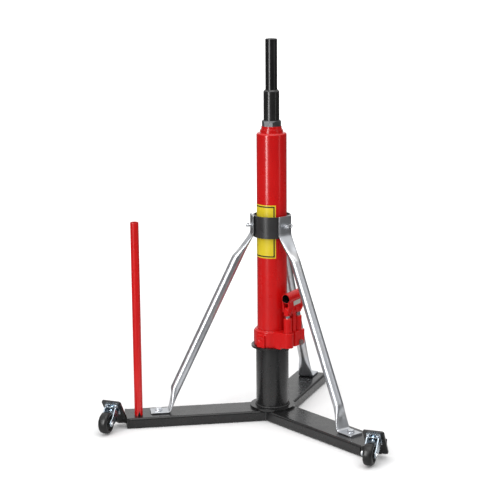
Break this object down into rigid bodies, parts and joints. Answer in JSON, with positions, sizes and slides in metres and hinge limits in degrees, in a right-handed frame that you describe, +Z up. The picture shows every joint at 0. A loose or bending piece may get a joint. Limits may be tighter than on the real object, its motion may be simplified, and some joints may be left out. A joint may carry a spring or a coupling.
{
  "type": "transmission jack",
  "caption": "Free-standing tripod hydraulic jack: telescopic ram on a column, hand pump, tubular stay struts and tip-to-roll swivel casters.",
  "frame": {"origin": "on the floor, under the ram axis, where the three legs meet", "axes": "+Z up along the ram, +Y along the short rear leg, +X to the right as seen from the front (caster) side"},
  "size_m": [0.766, 0.651, 1.011],
  "materials": {
    "black_paint": "satin black paint",
    "red_paint": "gloss red paint",
    "zinc_plate": "bright zinc plating",
    "machined_steel": "machined steel",
    "dark_steel": "dark oxidised steel",
    "dark_ram": "polished dark ram surface",
    "bronze": "bearing bronze",
    "black_rubber": "moulded rubber",
    "black_plastic": "moulded plastic",
    "wheel_polymer": "hard rubber",
    "label_film": "plain printed film"
  },
  "bodies": {
    "frame": {"front_leg_left": "black_paint", "front_leg_right": "black_paint", "rear_leg": "black_paint", "leg_end_plates": "black_paint", "rear_end_cap": "black_plastic", "column_foot_flange": "black_paint", "column_tube": "black_paint", "column_top_flange": "black_paint", "flange_bolts": "machined_steel", "jack_base": "red_paint", "reservoir_tube": "red_paint", "cylinder_barrel": "machined_steel", "top_cap": "red_paint", "gland_nut": "dark_steel", "wiper_seal": "black_rubber", "pump_cylinder_front": "red_paint", "pump_cylinder_rear": "red_paint", "fulcrum_post": "red_paint", "fulcrum_pin": "machined_steel", "check_balls": "machined_steel", "filler_plug": "black_rubber", "collar_band": "black_paint", "collar_liner": "black_rubber", "collar_studs": "zinc_plate", "hairpin_clips": "zinc_plate", "strut_left": "zinc_plate", "strut_right": "zinc_plate", "strut_rear": "zinc_plate", "foot_bolts": "zinc_plate", "foot_nuts": "zinc_plate", "caster_bracket_left": "black_paint", "caster_bracket_right": "black_paint", "caster_plate_bolts": "zinc_plate", "caster_plate_left": "zinc_plate", "caster_plate_right": "zinc_plate", "handle_peg": "black_paint", "label_panel": "label_film"},
    "outer_ram": {"outer_ram": "dark_ram", "outer_piston": "machined_steel", "outer_piston_seal": "black_rubber", "ram_guide": "bronze"},
    "inner_ram": {"inner_ram": "dark_ram", "inner_piston": "machined_steel", "inner_piston_seal": "black_rubber"},
    "rocker": {"handle_socket": "red_paint", "plunger_pins": "machined_steel", "pin_clips": "machined_steel"},
    "front_plunger": {"plunger_rod_front": "zinc_plate", "plunger_head_front": "red_paint"},
    "rear_plunger": {"plunger_rod_rear": "zinc_plate", "plunger_head_rear": "red_paint"},
    "valve": {"release_valve": "zinc_plate"},
    "swivel_left": {"caster_fork_left": "zinc_plate", "caster_axle_left": "zinc_plate"},
    "swivel_right": {"caster_fork_right": "zinc_plate", "caster_axle_right": "zinc_plate"},
    "wheel_left": {"caster_wheel_left": "wheel_polymer"},
    "wheel_right": {"caster_wheel_right": "wheel_polymer"},
    "handle": {"pump_handle": "red_paint"}
  },
  "joints": [
    {"name": "outer_ram_lift", "type": "slide", "parent": "frame", "child": "outer_ram", "axis": [0, 0, 1], "range_m": [-0.065, 0.42]},
    {"name": "inner_ram_lift", "type": "slide", "parent": "outer_ram", "child": "inner_ram", "axis": [0, 0, 1], "range_m": [-0.12, 0.38]},
    {"name": "pump_rocker", "type": "hinge", "parent": "frame", "child": "rocker", "pos_m": [0.06424, -0.01903, 0.309], "axis": [0.9588, -0.284, 0], "range_deg": [-19, 11]},
    {"name": "front_plunger_stroke", "type": "slide", "parent": "frame", "child": "front_plunger", "axis": [0, 0, 1], "range_m": [-0.0046, 0.0077]},
    {"name": "rear_plunger_stroke", "type": "slide", "parent": "frame", "child": "rear_plunger", "axis": [0, 0, 1], "range_m": [-0.0077, 0.0046]},
    {"name": "release_valve_turn", "type": "hinge", "parent": "frame", "child": "valve", "pos_m": [0.0728, -0.00071, 0.214], "axis": [0.9588, -0.284, 0], "range_deg": [0, 540]},
    {"name": "caster_swivel_left", "type": "hinge", "parent": "frame", "child": "swivel_left", "pos_m": [-0.356, -0.24299, 0.05991], "axis": [0, -0.829, -0.5592], "continuous": true},
    {"name": "caster_swivel_right", "type": "hinge", "parent": "frame", "child": "swivel_right", "pos_m": [0.356, -0.24299, 0.05991], "axis": [0, -0.829, -0.5592], "continuous": true},
    {"name": "wheel_spin_left", "type": "hinge", "parent": "swivel_left", "child": "wheel_left", "pos_m": [-0.356, -0.28901, 0.03068], "axis": [1, 0, 0], "continuous": true},
    {"name": "wheel_spin_right", "type": "hinge", "parent": "swivel_right", "child": "wheel_right", "pos_m": [0.356, -0.28901, 0.03068], "axis": [1, 0, 0], "continuous": true},
    {"name": "handle_lift_off", "type": "slide", "parent": "frame", "child": "handle", "axis": [0, 0, 1], "range_m": [0, 0.05]}
  ],
  "couplings": [
    {"joint": "front_plunger_stroke", "follows": "pump_rocker", "m_per_rad": -0.022},
    {"joint": "rear_plunger_stroke", "follows": "pump_rocker", "m_per_rad": 0.022}
  ]
}
